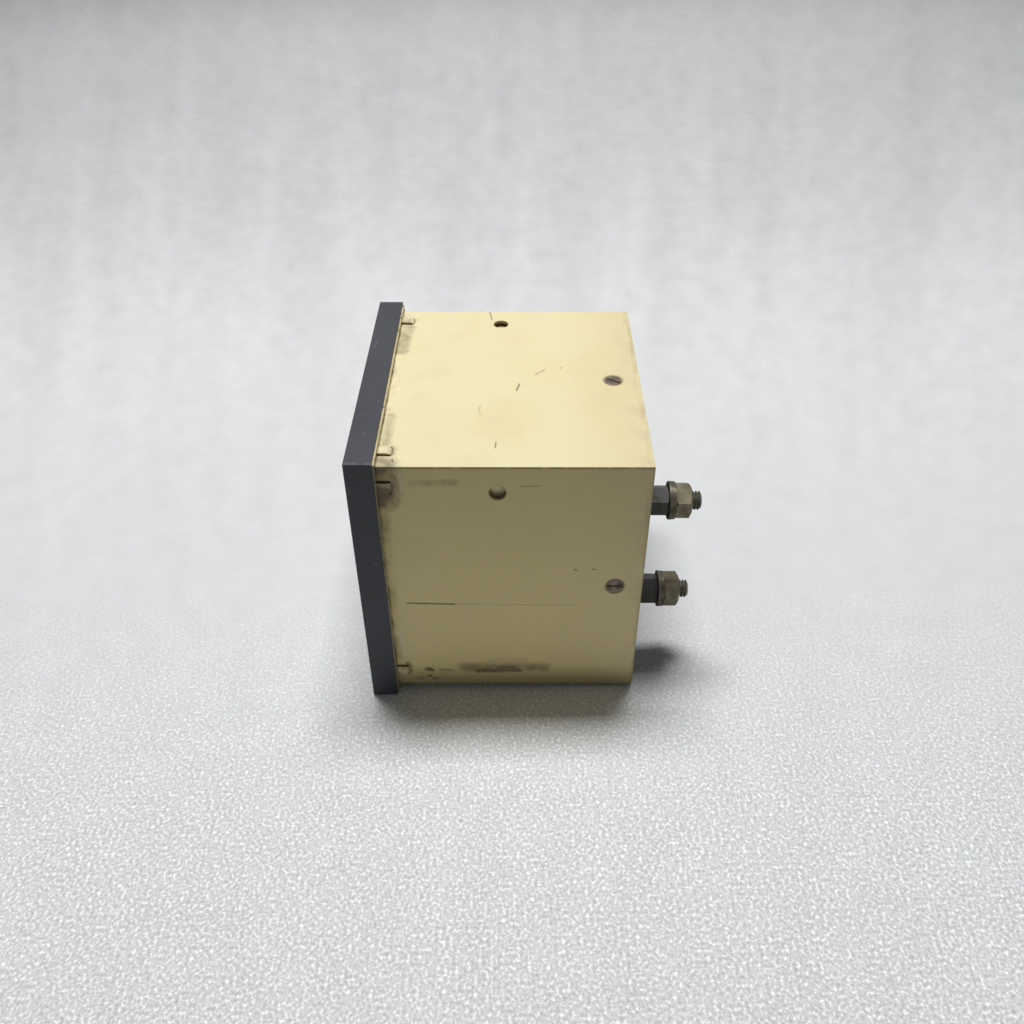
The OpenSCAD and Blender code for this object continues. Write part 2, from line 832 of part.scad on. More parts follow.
module bridge_screws() color("#b9b5ab")
    at_pivot() at_spots(pillar_spots)
        screw(bridge_screw_r, head_low, bridge_front, bridge_rear + bridge_screw_l, 50);

// Threaded bearing screws, each with a cup for the spindle's pivot
module front_jewel_screw() color("#c4a24c")
    at_pivot() difference() {
        turned() polygon([[0, jewel_front], [jewel_head_r, jewel_front], [jewel_head_r, boss_front],
                          [jewel_r, boss_front], [jewel_r, bridge_rear], [0, bridge_rear]]);
        rod(trunnion_r + play, bridge_rear - jewel_depth, bridge_rear + past);
        translate([0, jewel_front, 0]) cube([2 * jewel_head_r + past, jewel_slot, jewel_slot], center = true);
    }

module rear_jewel_screw() color("#c4a24c")
    at_pivot() difference() {
        rod(jewel_r, shaft_rear + end_play, jewel_rear);
        rod(trunnion_r + play, shaft_rear, shaft_rear + end_play + jewel_depth);
        translate([0, jewel_rear, 0]) cube([2 * jewel_r + past, 2 * jewel_slot, jewel_slot], center = true);
    }

// ---- Movement, swinging pieces ---------------------------------------------

// What each swinging piece leaves open for the spindle it is pressed on
module spindle_hole(y0, y1)
    rod(spindle_r + press, y0 - past, y1 + past);

// Steel spindle with a fine pivot at each end
module spindle() color("#9a9ca0") {
    tip_front = shaft_front - end_play - pivot_l;
    tip_rear = shaft_rear + end_play + pivot_l;
    at_pivot() turned() polygon([
        [0, tip_front], [trunnion_r, tip_front], [trunnion_r, shaft_front],
        [spindle_r, shaft_front + pivot_taper], [spindle_r, shaft_rear - pivot_taper],
        [trunnion_r, shaft_rear], [trunnion_r, tip_rear], [0, tip_rear]]);
}

// Light pointer with its hub and two balance arms, at the scale's zero
module pointer() color("#2a2a2c")
    at_pivot() difference() {
        union() {
            rod(hub_r, hub_front, hub_rear);
            slab(pointer_y - pointer_t / 2, pointer_y + pointer_t / 2) {
                rotate(zero_turn) polygon([
                    [0, -pointer_root], [0, pointer_root], [hub_r, pointer_root],
                    [pointer_r - tip_l, pointer_end], [pointer_r, 0], [pointer_r - tip_l, -pointer_end],
                    [hub_r, -pointer_root]]);
                for (a = [-arm_turn, arm_turn])
                    rotate(a) translate([0, -arm_w / 2]) square([balance_l, arm_w]);
            }
        }
        spindle_hole(hub_front, hub_rear);
    }

// Small weights pinched on the balance arms
module balance_weights() color("#b9b5ab")
    at_pivot() for (a = [-arm_turn, arm_turn]) rotate([0, -a, 0])
        translate([balance_l - weight_r, pointer_y, 0]) difference() {
            rod(weight_r, -weight_l / 2, weight_l / 2);
            cube([2 * weight_r + past, pointer_t + 2 * press, arm_w + 2 * press], center = true);
        }

// Flat spiral from the collar on the spindle out to the lever's stud
function spiral(t, out) =
    polar(spindle_r + root_t + (spring_r - spindle_r - root_t) * t + out, zero_turn + 360 * spring_turns * t);

module hairspring() color("#b98a4a") {
    steps = spring_turns * spring_steps;
    inner = [for (i = [0:steps]) spiral(i / steps, 0)];
    outer = [for (i = [steps:-1:0]) spiral(i / steps, spring_wire)];
    at_pivot() difference() {
        union() {
            slab(spring_front, spring_rear) polygon(concat(inner, outer));
            rod(spindle_r + collar_t, spring_front, hub_front);
        }
        spindle_hole(spring_front, hub_front);
    }
}

// Curved soft-iron vane carried on two webs inside the coil
module moving_iron() color("#8a8c90") {
    front = bobbin_front + iron_inset;
    rear = bobbin_rear - iron_inset;
    at_pivot() difference() {
        union() {
            slab(front, rear) ring_sector(iron_r - iron_t, iron_r, iron_turns[0], iron_turns[1]);
            for (y = [front, rear - web_t]) slab(y, y + web_t) {
                ring_sector(0, iron_r - iron_t / 2, web_turns[0], web_turns[1]);
                circle(r = spindle_r + 2 * collar_t);
            }
        }
        spindle_hole(front, rear);
    }
}

// Thin plate that swings in the damping chamber
module damping_vane() color("#c9cbcd") {
    front = bobbin_rear + chamber_floor + vane_gap;
    rear = chamber_rear - vane_gap;
    vane_r = chamber_r - chamber_wall - vane_tip_gap;
    at_pivot() difference() {
        union() {
            rod(spindle_r + 2 * collar_t, front, rear);
            translate([-vane_r, front, -vane_t / 2]) cube([vane_r, rear - front, vane_t]);
        }
        spindle_hole(front, rear);
    }
}

// ---- Zero adjuster ---------------------------------------------------------

// Forked lever round the front bearing; its stud holds the hairspring's outer end
module zero_lever() color("#c4a24c") {
    fork_half = adjuster_pin_r + fork_play;
    fork_low = -adjuster_drop - fork_over;
    fork_top = adjuster_throw + fork_deep;
    arm_low = -adjuster_drop + fork_arm;
    at_pivot() difference() {
        union() {
            slab(lever_front, lever_rear) {
                circle(r = boss_r + lever_eye);
                translate([-lever_w / 2, arm_low]) square([lever_w, -arm_low]);
                translate([-fork_half - fork_arm, fork_low])
                    square([2 * (fork_half + fork_arm), fork_over + fork_top]);
                translate([-lever_reach, -lever_w / 2]) square([lever_reach, lever_w]);
                translate([-lever_reach, 0]) circle(r = lever_w / 2);
            }
            translate([-lever_reach, 0, 0]) rod(lever_stud_r, lever_front, spring_rear);
        }
        rod(boss_r + play, lever_front - past, lever_rear + past);
        translate([-fork_half, lever_front - past, fork_low - past])
            cube([2 * fork_half, lever_t + 2 * past, past + fork_over + fork_top - fork_arm]);
    }
}

// Slotted adjuster snapped in the window, with an eccentric pin behind it
module zero_adjuster() color("#26262a") {
    seat = window_front - play;
    top = seat - adjuster_head_t;
    bead = window_rear + play;
    end = window_rear + adjuster_back;
    at_adjuster() {
        difference() {
            turned() polygon([
                [0, top], [adjuster_head_r - adjuster_edge, top], [adjuster_head_r, top + adjuster_edge],
                [adjuster_head_r, seat], [adjuster_neck_r, seat], [adjuster_neck_r, bead],
                [adjuster_neck_r + adjuster_bead, bead], [adjuster_neck_r, end], [0, end]]);
            translate([0, top, 0])
                cube([2 * adjuster_head_r + past, adjuster_slot, adjuster_slot], center = true);
        }
        translate([0, 0, adjuster_throw]) rod(adjuster_pin_r, end - hole_play, lever_rear + hole_play / 2);
    }
}

// ---- Rear base and terminals -------------------------------------------------

// Moulded base that closes the case and insulates the terminals
module rear_base() color("#2f2d31")
    difference() {
        union() {
            slab(base_plate, base_rear) square_outline(slip_h, case_r);
            slab(base_front, base_plate + eps) difference() {
                square_outline(slip_h, case_r);
                square(2 * (slip_h - base_rim), center = true);
            }
            each_side() translate([-boss_w / 2, base_front, slip_h - side_screw_l - past])
                cube([boss_w, base_plate - base_front + eps, side_screw_l + past - base_rim / 2]);
            at_corners(foot_at) slab(base_front, base_plate + eps) square(foot_w, center = true);
            at_spots(terminal_spots) {
                rod(pad_r, base_front, base_plate + eps);
                rod(pad_r, base_rear - eps, case_d);
            }
        }
        slab(base_rear - groove_d, base_rear + groove_d) difference() {
            square_outline(slip_h - groove_in, groove_corner);
            for (p = terminal_spots) translate(p) circle(r = pad_r + pad_gap);
        }
        each_side() translate([0, side_y, case_h - head_sink]) side_screw_hole();
        at_corners(foot_at) rod(foot_screw_r + play, base_front - past, base_plate);
        at_spots(terminal_spots) rod(stud_r + hole_play, base_front - past, case_d + past);
    }

// Hole of a side screw, with room for the part of its cone that reaches the base
module side_screw_hole() {
    neck = side_rim + side_head_r - side_screw_r;
    wide = neck + side_screw_r + play;
    translate([0, 0, -side_screw_l - eye_play]) cylinder(r = side_screw_r + play, h = side_screw_l + past);
    translate([0, 0, -neck - play]) cylinder(r1 = side_screw_r, r2 = wide, h = neck + play);
}

// Bar with an eye on the upper stud, running forward beside the movement to the coil
module upper_busbar() color("#b87345") {
    p = terminal_spots[0];
    strap_x = pivot_x + strap_w;
    strap_z = pivot_z + plate_h + strap_w;
    end_z = pivot_z + upper_tail_top - strap_drop;
    bar_x = p[0] - bar_w / 2;
    difference() {
        union() {
            translate([p[0], 0, p[1]]) rod(bar_eye_r, bar_front, base_front);
            translate([bar_x, bar_front, strap_z]) cube([bar_w, bar_t, p[1] - strap_z]);
            translate([bar_x, bar_front, strap_z]) cube([strap_x + strap_w - bar_x, bar_t, bar_w]);
            translate([strap_x, tail_y - tail_t, strap_z])
                cube([strap_w, base_front - tail_y + tail_t, strap_t]);
            translate([strap_x - strap_lap, tail_y - tail_t, end_z])
                cube([strap_w + strap_lap, tail_t, strap_z + strap_t - end_z]);
        }
        translate([p[0], 0, p[1]]) rod(stud_r + hole_play, bar_front - past, base_front + past);
    }
}

// Bar with an eye on the lower stud, running forward on the other side of the coil
module lower_busbar() color("#b87345") {
    p = terminal_spots[1];
    strap_x = pivot_x + lower_tail_end - strap_t;
    strap_z = pivot_z + lower_tail_z - strap_w / 2;
    difference() {
        union() {
            translate([p[0], 0, p[1]]) rod(bar_eye_r, bar_front, base_front);
            translate([strap_x, bar_front, p[1] - bar_w / 2]) cube([p[0] - strap_x, bar_t, bar_w]);
            translate([strap_x, bar_front, strap_z]) cube([strap_w, bar_t, p[1] - strap_z]);
            translate([strap_x, tail_y, strap_z]) cube([strap_t, base_front - tail_y, strap_w]);
        }
        translate([p[0], 0, p[1]]) rod(stud_r + hole_play, bar_front - past, base_front + past);
    }
}

// Threaded studs with a hexagonal head inside the base, and a neck inside the nut where the free end begins
module terminal_studs() color("#6a6258")
    at_spots(terminal_spots) {
        rod(stud_r, bar_front - stud_head_h / 2, nut_end - neck_l);
        rod(stud_r - neck_d, nut_end - neck_l - past, nut_end + past);
        chamfered_rod(stud_r, nut_end, stud_end, 0, stud_chamfer);
        hex_bar(stud_head_af, bar_front - stud_head_h, bar_front);
    }

module terminal_posts() color("#35322f")
    for (i = [0, 1]) at_spots([terminal_spots[i]]) difference() {
        intersection() {
            hex_bar(post_af, case_d, post_end, post_turns[i]);
            chamfered_rod(post_af / sqrt(3) + play, case_d, post_end, 0, post_chamfer);
        }
        rod(stud_r + hole_play, case_d - past, post_end + past);
    }

module flat_washers() color("#6b6458")
    at_spots(terminal_spots) difference() {
        chamfered_rod(washer_r, post_end, washer_end, 0, washer_chamfer);
        rod(stud_r + eye_play, post_end - past, washer_end + past);
    }

// Split spring washers, pressed flat
module spring_washers() color("#5f594f")
    at_spots(terminal_spots) difference() {
        rod(lock_r, washer_end, lock_end);
        rod(stud_r + eye_play, washer_end - past, lock_end + past);
        rotate([0, lock_turn, 0]) translate([0, washer_end - past, -lock_cut / 2])
            cube([lock_r + past, lock_t + 2 * past, lock_cut]);
    }

module terminal_nuts() color("#67654f")
    for (i = [0, 1]) at_spots([terminal_spots[i]]) difference() {
        intersection() {
            hex_bar(nut_af, lock_end, nut_end, nut_turns[i]);
            chamfered_rod(nut_af / sqrt(3) + play, lock_end, nut_end, nut_chamfer_front, nut_chamfer_rear);
        }
        rod(stud_r + play, lock_end - past, nut_end + past);
    }

bezel();
window();
window_gasket();
mounting_ring();
case();
dial_frame();
dial();
scale_print();
dial_screws();
stop_pins();
chassis();
chassis_screws();
movement_plate();
coil_bobbin();
coil_winding();
fixed_iron();
damping_chamber();
chamber_cover();
movement_screws();
bridge_pillars();
front_bridge();
bridge_screws();
front_jewel_screw();
rear_jewel_screw();
spindle();
pointer();
balance_weights();
hairspring();
moving_iron();
damping_vane();
zero_lever();
zero_adjuster();
rear_base();
side_screws();
upper_busbar();
lower_busbar();
terminal_studs();
terminal_posts();
flat_washers();
spring_washers();
terminal_nuts();
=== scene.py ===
"""Looks of the square panel meter: its finishes, dial numbers and stud threads, the floor, light and camera.

Lengths are metres in the row frame, where the meter faces -Y. Inside the materials they are millimetres.
"""

import json
import math

import bpy
from mathutils import Matrix, Vector


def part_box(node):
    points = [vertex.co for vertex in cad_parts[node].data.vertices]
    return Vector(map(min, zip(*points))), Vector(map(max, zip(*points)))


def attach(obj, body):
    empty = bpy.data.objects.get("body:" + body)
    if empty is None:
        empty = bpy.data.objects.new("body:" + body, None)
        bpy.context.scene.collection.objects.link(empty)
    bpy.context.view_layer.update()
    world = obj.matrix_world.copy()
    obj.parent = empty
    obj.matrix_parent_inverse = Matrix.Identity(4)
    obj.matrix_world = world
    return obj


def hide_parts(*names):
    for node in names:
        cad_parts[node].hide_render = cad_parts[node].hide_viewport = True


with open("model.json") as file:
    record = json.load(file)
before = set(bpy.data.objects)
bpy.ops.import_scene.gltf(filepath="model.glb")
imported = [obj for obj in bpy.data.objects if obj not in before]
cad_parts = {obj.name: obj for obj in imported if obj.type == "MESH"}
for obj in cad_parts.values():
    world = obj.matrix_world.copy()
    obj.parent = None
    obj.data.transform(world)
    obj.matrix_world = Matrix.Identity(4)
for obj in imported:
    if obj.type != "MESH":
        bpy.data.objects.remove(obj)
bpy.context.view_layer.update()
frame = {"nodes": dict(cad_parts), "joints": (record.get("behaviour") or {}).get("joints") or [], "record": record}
MM = 0.001


# ---- Shader nodes ------------------------------------------------------------


class Graph:
    """Short calls that add shader nodes to one node tree.

    A value is a number, a colour or another node's output.
    """

    def __init__(self, tree):
        self.tree = tree
        tree.nodes.clear()

    def plug(self, socket, value):
        if isinstance(value, bpy.types.NodeSocket):
            self.tree.links.new(value, socket)
        elif socket.type == "RGBA":
            socket.default_value = (*value, 1.0)
        else:
            socket.default_value = value

    def node(self, kind, inputs=None, **settings):
        made = self.tree.nodes.new("ShaderNode" + kind)
        for name, value in settings.items():
            setattr(made, name, value)
        for name, value in (inputs or {}).items():
            self.plug(made.inputs[name], value)
        return made

    def calc(self, operation, *values):
        return self.node("Math", dict(enumerate(values)), operation=operation).outputs[0]

    def vector(self, operation, *values):
        made = self.node("VectorMath", dict(enumerate(values)), operation=operation)
        return made.outputs["Value" if operation in ("DOT_PRODUCT", "LENGTH") else "Vector"]

    def scaled(self, vector, factor):
        return self.node("VectorMath", {0: vector, "Scale": factor}, operation="SCALE").outputs["Vector"]

    def step(self, value, low, high, start=0.0, end=1.0):
        """A smooth change from start to end while value goes from low to high."""
        inputs = {"Value": value, "From Min": low, "From Max": high, "To Min": start, "To Max": end}
        return self.node("MapRange", inputs, interpolation_type="SMOOTHSTEP").outputs["Result"]

    def blend(self, share, first, second):
        inputs = {0: share, 6: first, 7: second}
        return self.node("Mix", inputs, data_type="RGBA", clamp_factor=True).outputs[2]

    def blend_value(self, share, first, second):
        return self.node("Mix", {0: share, 2: first, 3: second}, data_type="FLOAT").outputs[0]

    def noise(self, point, size, detail=2.0, roughness=0.5):
        """Noise from about 0.25 to 0.75 whose features are about size across."""
        inputs = {"Vector": point, "Scale": 1 / size, "Detail": detail, "Roughness": roughness}
        return self.node("TexNoise", inputs).outputs["Fac"]

    def either(self, *shares):
        found = shares[0]
        for share in shares[1:]:
            found = self.calc("MAXIMUM", found, share)
        return found


def group_socket(tree, name, direction, kind):
    return tree.interface.new_socket(name=name, in_out=direction, socket_type="NodeSocket" + kind)


def make_mark_group():
    """A given mark: 1 within Width of the line from Start to End, and 0 beyond Width plus Soft."""
    tree = bpy.data.node_groups.new("mark", "ShaderNodeTree")
    for name, kind in (("Point", "Vector"), ("Start", "Vector"), ("End", "Vector"),
                       ("Width", "Float"), ("Soft", "Float"), ("Ragged", "Float")):
        group_socket(tree, name, "INPUT", kind)
    group_socket(tree, "Share", "OUTPUT", "Float")
    g = Graph(tree)
    given = tree.nodes.new("NodeGroupInput").outputs
    along = g.vector("SUBTRACT", given["End"], given["Start"])
    from_start = g.vector("SUBTRACT", given["Point"], given["Start"])
    squared = g.calc("MAXIMUM", g.vector("DOT_PRODUCT", along, along), 1e-6)
    place = g.calc("DIVIDE", g.vector("DOT_PRODUCT", from_start, along), squared)
    place = g.calc("MINIMUM", g.calc("MAXIMUM", place, 0), 1)
    away = g.vector("LENGTH", g.vector("SUBTRACT", from_start, g.scaled(along, place)))
    rough = g.calc("SUBTRACT", g.noise(given["Point"], 0.9, 3.0, 0.6), 0.5)
    away = g.calc("ADD", away, g.calc("MULTIPLY", rough, given["Ragged"]))
    end = g.calc("ADD", given["Width"], given["Soft"])
    out = tree.nodes.new("NodeGroupOutput")
    tree.links.new(g.step(away, given["Width"], end, 1.0, 0.0), out.inputs["Share"])
    return tree


MARK = make_mark_group()


class Finish(Graph):
    """One procedural material: a Principled shader, and the surface point in millimetres."""

    def __init__(self, name):
        material = bpy.data.materials.new(name)
        material.use_nodes = True
        super().__init__(material.node_tree)
        self.material = material
        self.shader = self.node("BsdfPrincipled")
        self.output = self.node("OutputMaterial", {"Surface": self.shader.outputs["BSDF"]})
        self.point = self.scaled(self.node("TexCoord").outputs["Object"], 1 / MM)

    def axes(self):
        split = self.node("SeparateXYZ", {"Vector": self.point})
        return split.outputs["X"], split.outputs["Y"], split.outputs["Z"]

    def stretched(self, x, y, z):
        """The surface point with the noise drawn out by these factors."""
        return self.vector("MULTIPLY", self.point, (1 / x, 1 / y, 1 / z))

    def mark(self, start, end, width, soft=0.3, ragged=0.6):
        made = self.node("Group", node_tree=MARK)
        values = {"Point": self.point, "Start": start, "End": end,
                  "Width": width, "Soft": soft, "Ragged": ragged}
        for name, value in values.items():
            self.plug(made.inputs[name], value)
        return made.outputs["Share"]

    def marks(self, rows, ragged=0.6):
        """The strongest of several marks, each a start, an end, a width, a softness and a strength."""
        found = [self.calc("MULTIPLY", self.mark(a, b, width, soft, ragged), strength)
                 for a, b, width, soft, strength in rows]
        return self.either(*found)

    def speckle(self, size, low, high):
        return self.step(self.noise(self.point, size, 3.0, 0.6), low, high)

    def done(self, colour, roughness, height=None, depth=0.02, **constants):
        """Fills the shader. Depth is the bump's height in millimetres."""
        self.plug(self.shader.inputs["Base Color"], colour)
        self.plug(self.shader.inputs["Roughness"], roughness)
        for name, value in constants.items():
            self.plug(self.shader.inputs[name.replace("_", " ")], value)
        if height is not None:
            bump = self.node("Bump", {"Height": height, "Strength": 1.0, "Distance": depth * MM})
            self.plug(self.shader.inputs["Normal"], bump.outputs["Normal"])
        return self.material


# ---- Finishes seen from outside ------------------------------------------------

# Half width of the case and of its ring, the case's rear, and what lies on each of its sides
CASE_H = 45.5
CASE_REAR = 78.0
RING_H = 46.3
TONGUE_AT = 38.2
TONGUE_HALF = 1.8
TONGUE_END = 4.0
CORNER = 0.9
CLAMP_AT = (-36.3, 34.0)
SCREW_AT = (0.0, 69.6)

# Marks on the top and right-hand sides: start, end, half width, softness, strength
SCRATCHES = [
    ((2.2, 40.2, CASE_H), (5.9, 39.4, CASE_H), 0.12, 0.35, 0.75),
    ((-6.4, 48.2, CASE_H), (-3.4, 45.4, CASE_H), 0.08, 0.30, 0.55),
    ((-8.0, 53.8, CASE_H), (-7.2, 53.4, CASE_H), 0.12, 0.30, 0.40),
    ((33.4, 33.5, CASE_H), (36.4, 33.3, CASE_H), 0.05, 0.30, 0.75),
    ((14.6, 28.3, CASE_H), (17.6, 28.0, CASE_H), 0.06, 0.45, 0.25),
    ((17.6, 28.0, CASE_H), (19.6, 28.7, CASE_H), 0.06, 0.40, 0.20),
    ((-44.8, 30.1, CASE_H), (-39.8, 30.8, CASE_H), 0.10, 0.35, 0.60),
    ((41.9, 4.5, CASE_H), (43.0, 4.7, CASE_H), 0.12, 0.30, 0.80),
    ((CASE_H, 5.6, -7.4), (CASE_H, 20.0, -7.8), 0.15, 0.35, 0.80),
    ((CASE_H, 20.0, -7.8), (CASE_H, 58.0, -8.1), 0.05, 0.25, 0.25),
    ((CASE_H, 40.5, 38.7), (CASE_H, 46.0, 38.9), 0.08, 0.35, 0.35),
    ((CASE_H, 57.0, 7.0), (CASE_H, 57.6, 6.6), 0.18, 0.30, 0.60),
    ((CASE_H, 62.5, 7.1), (CASE_H, 63.0, 6.9), 0.18, 0.30, 0.60),
]
SPOTS = [
    ((CASE_H, 9.8, -37.9), (CASE_H, 11.4, -38.3), 0.30, 0.90, 0.90),
    ((CASE_H, 10.4, -41.2), (CASE_H, 10.9, -41.3), 0.20, 0.80, 0.80),
    ((CASE_H, 14.0, -38.2), (CASE_H, 18.5, -38.5), 0.05, 0.70, 0.60),
    ((CASE_H, 6.6, -42.6), (CASE_H, 8.2, -42.3), 0.10, 0.90, 0.50),
    ((CASE_H, 12.0, -42.6), (CASE_H, 12.9, -42.5), 0.15, 0.80, 0.55),
    ((CASE_H, 3.6, -35.0), (CASE_H, 4.3, -36.6), 0.20, 1.00, 0.65),
    ((CASE_H, 4.2, -37.0), (CASE_H, 4.5, -39.4), 0.20, 0.80, 0.60),
    ((CASE_H, 27.0, -38.8), (CASE_H, 40.5, -38.6), 0.20, 1.30, 0.75),
    ((CASE_H, 33.0, -37.2), (CASE_H, 38.0, -37.1), 0.15, 0.90, 0.55),
]
SMEARS = [
    ((-34.0, 2.4, CASE_H), (-18.0, 1.4, CASE_H), 0.8, 2.6, 0.75),
    ((-26.0, 2.8, CASE_H), (-18.0, 3.2, CASE_H), 0.2, 1.4, 0.55),
    ((20.0, 2.0, CASE_H), (34.5, 1.8, CASE_H), 0.3, 2.2, 0.60),
    ((41.0, 1.6, CASE_H), (42.6, 2.2, CASE_H), 0.6, 2.0, 0.60),
    ((CASE_H, 22.0, -37.4), (CASE_H, 48.0, -37.2), 0.6, 3.4, 0.70),
    ((CASE_H, 30.0, -35.0), (CASE_H, 42.0, -34.5), 0.3, 2.8, 0.25),
    ((CASE_H, 10.0, 39.8), (CASE_H, 22.0, 40.0), 0.3, 1.6, 0.35),
    ((CASE_H, 1.0, 34.0), (CASE_H, 0.4, 22.0), 0.3, 3.0, 0.50),
    ((CASE_H, 1.2, 44.5), (CASE_H, 0.8, 35.0), 2.8, 4.6, 0.92),
]
RUBS = [
    ((CASE_H, 6.6, 43.6), (CASE_H, 6.9, 37.0), 0.08, 0.55, 0.40),
    ((CASE_H, 5.3, 44.2), (CASE_H, 6.3, 40.8), 0.06, 0.45, 0.30),
    ((CASE_H, 1.6, -20.0), (CASE_H, 3.4, -31.0), 0.30, 1.40, 0.30),
    ((CASE_H, 3.1, -19.2), (CASE_H, 3.3, -20.2), 0.15, 0.60, 0.40),
]


def case_enamel():
    f = Finish("cream_enamel")
    x, y, z = f.axes()
    wide = f.calc("ABSOLUTE", x)
    tall = f.calc("ABSOLUTE", z)
    upright = f.calc("GREATER_THAN", wide, tall)
    across = f.blend_value(
        upright,
        f.calc("MULTIPLY", f.calc("SIGN", z), x),
        f.calc("MULTIPLY", f.calc("MULTIPLY", f.calc("SIGN", x), -1.0), z))
    outer = f.calc("MAXIMUM", wide, tall)
    inner = f.calc("MINIMUM", wide, tall)

    def from_hole(place):
        from_middle = f.calc("SUBTRACT", across, place[0])
        flat = f.node("CombineXYZ", {0: from_middle, 1: f.calc("SUBTRACT", y, place[1])})
        return f.vector("LENGTH", flat.outputs[0])

    clouds = f.step(f.noise(f.point, 30.0, 2.0), 0.36, 0.64)
    # The upright sides get a darker, yellower copy of the top's colour: painted shade on one enamel
    colour = f.blend(upright, (0.840, 0.755, 0.465), (0.800, 0.670, 0.315))
    colour = f.blend(f.calc("MULTIPLY", clouds, 0.3), colour, (0.790, 0.675, 0.360))
    worn = f.calc("MULTIPLY", f.speckle(13.0, 0.50, 0.70), 0.22)
    colour = f.blend(worn, colour, (0.70, 0.585, 0.35))

    # Towards the rear the enamel is painted darker and browner as painted shade where the light falls off, with
    # soft bands along its edge
    rear = f.step(y, CASE_REAR - 30, CASE_REAR)
    colour = f.blend(f.calc("MULTIPLY", rear, 0.5), colour, (0.70, 0.59, 0.33))
    near_rear = f.step(y, CASE_REAR - 9, CASE_REAR)
    pink = f.calc("MULTIPLY", near_rear, f.step(f.noise(f.point, 6.0, 2.0), 0.47, 0.62))
    colour = f.blend(f.calc("MULTIPLY", pink, 0.4), colour, (0.66, 0.50, 0.36))
    bands = f.step(f.noise(f.stretched(7.0, 1.0, 7.0), 1.6, 2.0), 0.38, 0.60)
    rim = f.either(f.calc("MULTIPLY", f.step(y, CASE_REAR - 2.6, CASE_REAR - 0.6),
                          f.calc("MULTIPLY", bands, 0.45)),
                   f.calc("MULTIPLY", f.step(y, CASE_REAR - 0.55, CASE_REAR - 0.3),
                          f.blend_value(upright, 0.15, 0.8)))
    colour = f.blend(f.calc("MULTIPLY", rim, 0.7), colour, (0.36, 0.30, 0.14))

    # The folded long edges are rubbed dark on the upright sides
    edge_line = f.calc("MULTIPLY", upright, f.step(inner, CASE_H - 1.0, CASE_H - 0.55))
    uneven = f.step(f.noise(f.point, 3.5, 3.0), 0.34, 0.50, 0.45, 1.0)
    rubbed_edge = f.calc("MULTIPLY", f.calc("MULTIPLY", edge_line, uneven), 0.62)
    colour = f.blend(rubbed_edge, colour, (0.22, 0.18, 0.06))

    # Round a tongue: its slit painted dark as painted shade with dirt, a dark line round its rear end painted as
    # the step's shadow with dirt, and a rubbed top
    beside = f.calc("ABSOLUTE", f.calc("SUBTRACT", f.calc("ABSOLUTE", across), TONGUE_AT))
    beside = f.calc("MAXIMUM", f.calc("SUBTRACT", beside, TONGUE_HALF - CORNER), 0.0)
    behind = f.calc("MAXIMUM", f.calc("SUBTRACT", y, TONGUE_END - CORNER), 0.0)
    beyond = f.vector("LENGTH", f.node("CombineXYZ", {0: beside, 1: behind}).outputs[0])
    beyond = f.calc("SUBTRACT", beyond, CORNER)
    on_tongue = f.calc("MULTIPLY", f.step(outer, CASE_H + 0.15, CASE_H + 0.4),
                       f.step(beyond, -0.3, 0.1, 1.0, 0.0))
    # Dark line round the tongue's rear end: painted shadow of the raised step, with dirt
    rear_end_shadow_and_dirt = f.calc("MULTIPLY", f.step(beyond, -0.15, 0.1), f.step(beyond, 0.25, 0.8, 1.0, 0.0))
    rear_end_shadow_and_dirt = f.calc("MULTIPLY", rear_end_shadow_and_dirt, f.step(y, TONGUE_END - 1.6, TONGUE_END - 0.6))
    # The slit's walls painted dark: painted shade inside the slit, with dirt
    slit_shade_and_dirt = f.calc("MULTIPLY", f.step(outer, CASE_H - 0.12, CASE_H - 0.02, 1.0, 0.0),
                       f.step(beyond, 0.6, 1.0, 1.0, 0.0))
    round_tongue = f.calc("MULTIPLY", f.step(beyond, 0.0, 2.4, 1.0, 0.0), f.speckle(3.0, 0.38, 0.64))
    rubbed = f.calc("MULTIPLY", on_tongue, f.speckle(1.3, 0.40, 0.58))
    colour = f.blend(f.calc("MULTIPLY", rubbed, 0.8), colour, (0.86, 0.72, 0.55))
    colour = f.blend(slit_shade_and_dirt, colour, (0.34, 0.27, 0.11))

    # Soft dirt in smears and along the front edge, darker patches round each tongue, and painted shade towards the
    # bottom of the upright sides
    front = f.calc("MULTIPLY", f.step(y, 0.0, 3.4, 1.0, 0.0), f.step(f.noise(f.point, 6.0, 2.0), 0.42, 0.62))
    uneven = f.step(f.noise(f.point, 4.5, 2.0), 0.30, 0.62, 0.55, 1.0)
    smears = f.calc("MULTIPLY", f.marks(SMEARS, 1.6), uneven)
    # Darker towards the bottom of the upright sides: painted shade from the floor's contact shadow, with dirt
    low = f.calc("MULTIPLY", upright, f.step(z, -35.0, -44.5, 0.0, 0.60))
    soft = f.either(smears, f.calc("MULTIPLY", front, 0.40), f.calc("MULTIPLY", round_tongue, 0.55), low)
    colour = f.blend(soft, colour, f.blend(upright, (0.30, 0.245, 0.15), (0.17, 0.12, 0.075)))
    colour = f.blend(f.marks(RUBS), colour, (0.88, 0.80, 0.62))

